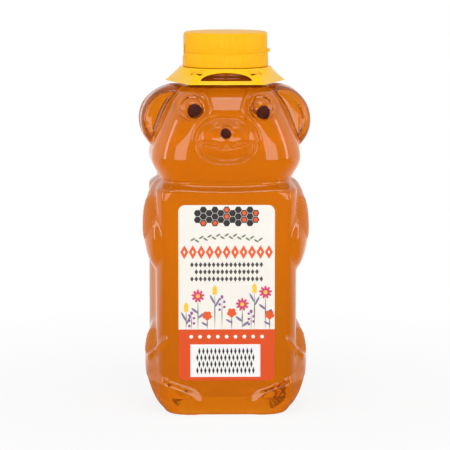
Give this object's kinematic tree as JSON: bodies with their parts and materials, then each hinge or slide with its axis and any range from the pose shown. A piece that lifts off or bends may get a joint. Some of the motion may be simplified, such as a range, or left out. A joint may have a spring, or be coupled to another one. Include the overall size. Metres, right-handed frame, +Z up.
{
  "type": "honey bear bottle",
  "caption": "Squeeze bottle for honey in the shape of a seated bear, with a front label, a five-sided hat brim on its neck and a screwed flip-top cap.",
  "frame": {"origin": "centre of the underside, on the surface that the bottle stands on", "axes": "+Z up, -Y towards the bear's front, +X towards the bear's left hand"},
  "size_m": [0.0814, 0.065, 0.1812],
  "materials": {
    "bottle": "clear glossy blown plastic",
    "honey": "clear amber liquid",
    "cap": "satin moulded plastic",
    "liner": "soft foam",
    "brim": "satin moulded plastic",
    "label": "printed film",
    "paint": "gloss black paint"
  },
  "bodies": {
    "bottle": {"bottle_shell": "bottle", "bottle_neck": "bottle", "honey": "honey", "hat_brim": "brim", "front_label": "label", "nose_paint": "paint", "right_eye_paint": "paint", "left_eye_paint": "paint"},
    "seal": {"cap_liner": "liner"},
    "cap": {"cap_base": "cap", "living_hinge": "cap"},
    "lid": {"flip_lid": "cap"}
  },
  "joints": [
    {"name": "cap_rise", "type": "slide", "parent": "bottle", "child": "seal", "axis": [0, 0, 1], "range_m": [0, 0.01269]},
    {"name": "cap_turn", "type": "hinge", "parent": "seal", "child": "cap", "pos_m": [0, 0, 0.1649], "axis": [0, 0, 1], "range_deg": [0, 1080]},
    {"name": "lid_flip", "type": "hinge", "parent": "cap", "child": "lid", "pos_m": [-0.0205, 0, 0.1717], "axis": [0, -1, 0], "range_deg": [0, 150], "deforming": ["living_hinge"]}
  ],
  "couplings": [
    {"joint": "cap_rise", "follows": "cap_turn", "m_per_rad": 0.00067322}
  ]
}
